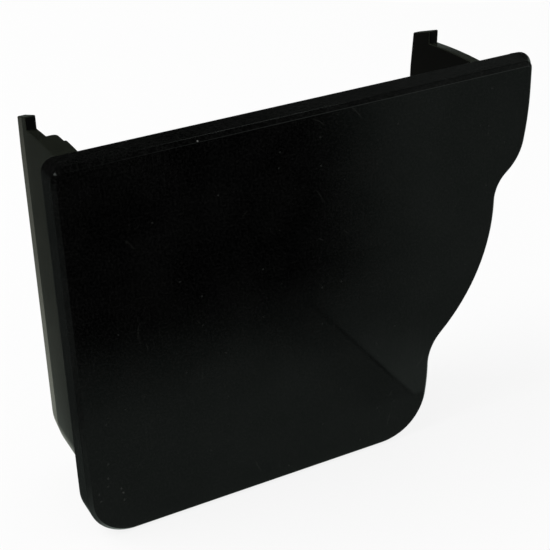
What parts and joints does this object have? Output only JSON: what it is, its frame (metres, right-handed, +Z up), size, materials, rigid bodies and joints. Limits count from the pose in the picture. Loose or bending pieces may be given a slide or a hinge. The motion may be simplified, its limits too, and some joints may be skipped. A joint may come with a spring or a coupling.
{
  "type": "gutter end cap",
  "caption": "Ogee gutter end cap: a flat face plate with a rim, a curved spigot that slides into the gutter, and barbed clips on the wall tops.",
  "frame": {"origin": "under the middle of the cap, level with the foot of the face plate", "axes": "+X along the plate from the wall side to the front of the gutter, +Y back into the gutter, +Z up"},
  "size_m": [0.1222, 0.0326, 0.0964],
  "materials": {
    "cap_plastic": "smooth black moulded plastic with a soft gloss"
  },
  "bodies": {
    "root": {"cap": "cap_plastic"}
  },
  "joints": []
}
